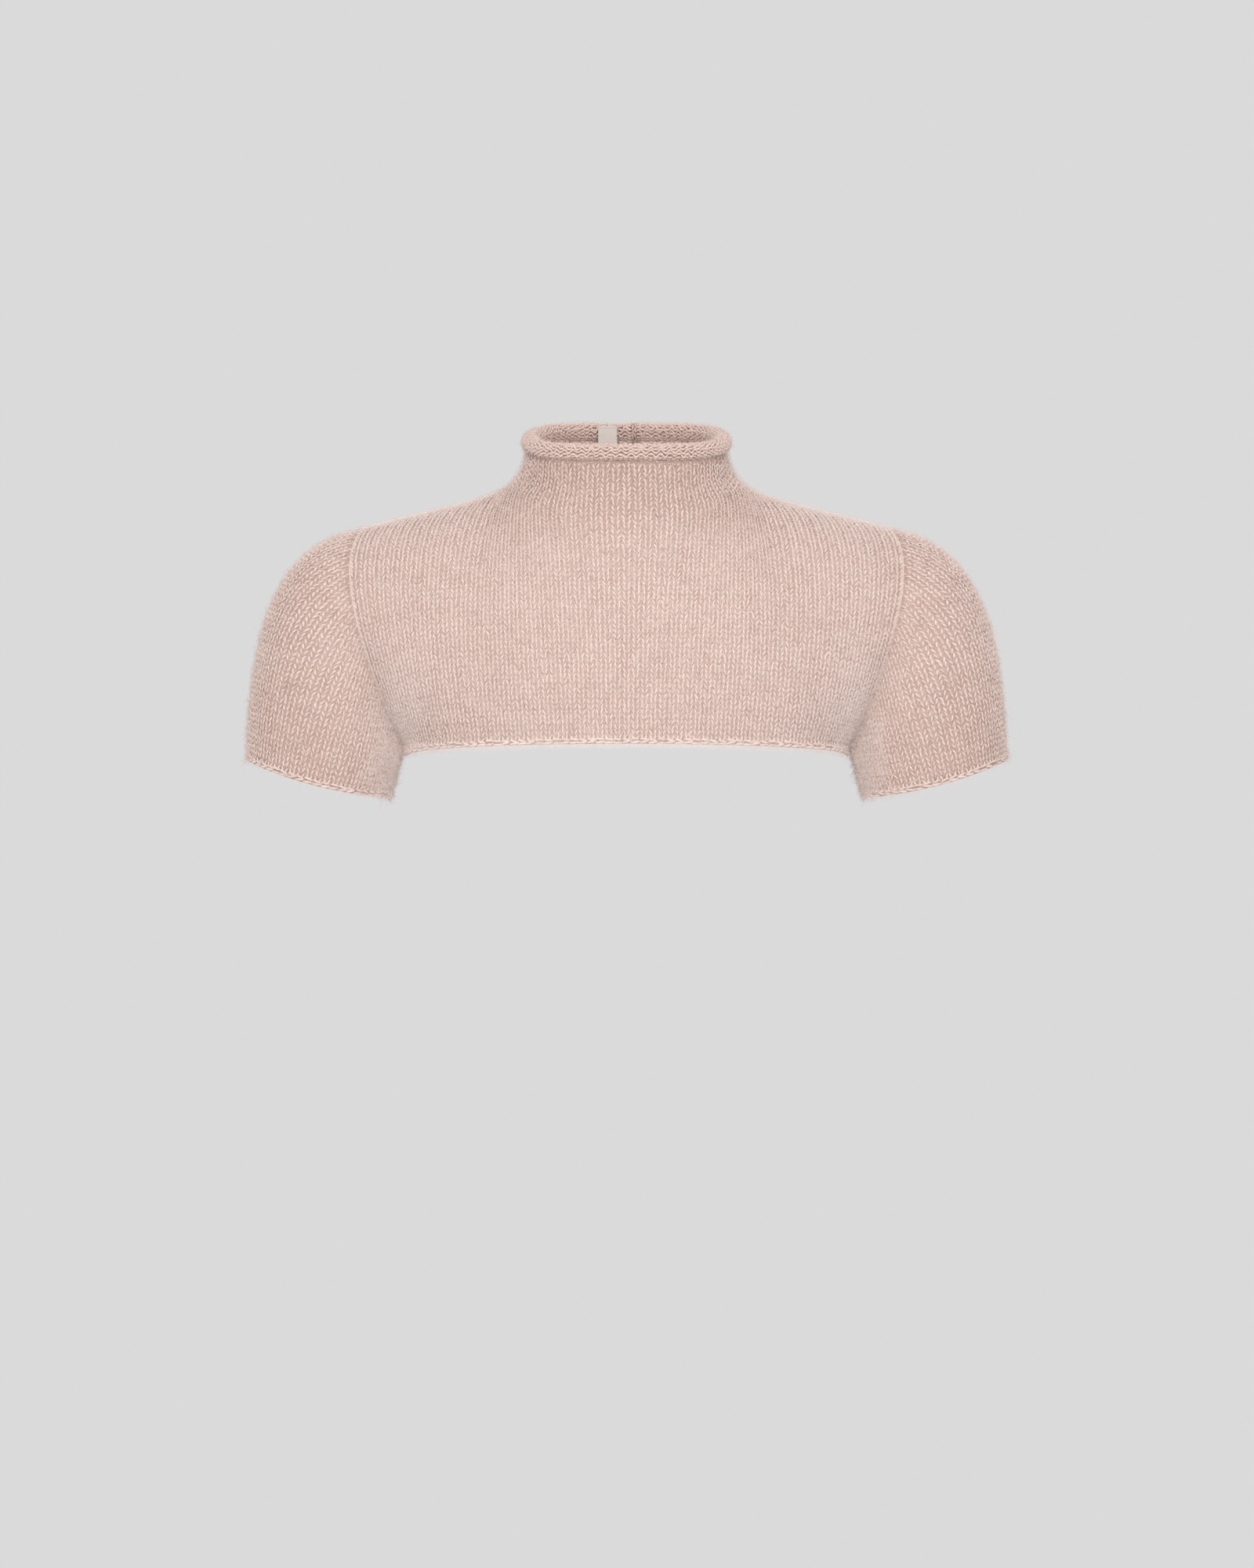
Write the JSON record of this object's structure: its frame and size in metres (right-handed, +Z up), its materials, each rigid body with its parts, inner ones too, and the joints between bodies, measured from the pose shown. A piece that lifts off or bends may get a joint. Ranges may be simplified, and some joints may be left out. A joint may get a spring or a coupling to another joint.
{
  "type": "knitted top",
  "caption": "Cropped short-sleeved knitted top with a funnel neck, rolled collar edge and buttoned slit at the back, worn shape without a wearer.",
  "frame": {"origin": "on the centre plane at the base of the neck, where the wearer's shoulders carry the top", "axes": "+X to the wearer's left, +Y to the back, +Z up; the front faces -Y"},
  "size_m": [0.5218, 0.2153, 0.2597],
  "materials": {
    "knit_body": "brushed mohair stockinette, knit side out",
    "knit_sleeve": "brushed mohair stockinette, knit side out",
    "knit_roll": "brushed mohair stockinette, purl side out",
    "label_tape": "woven satin tape, bare",
    "button": "pearly, polished",
    "yarn_cord": "twisted yarn"
  },
  "bodies": {
    "root": {"front": "knit_body", "back": "knit_body", "sleeve_left": "knit_sleeve", "sleeve_right": "knit_sleeve", "neck_roll": "knit_roll", "label": "label_tape", "button": "button", "button_loop": "yarn_cord"}
  },
  "joints": []
}
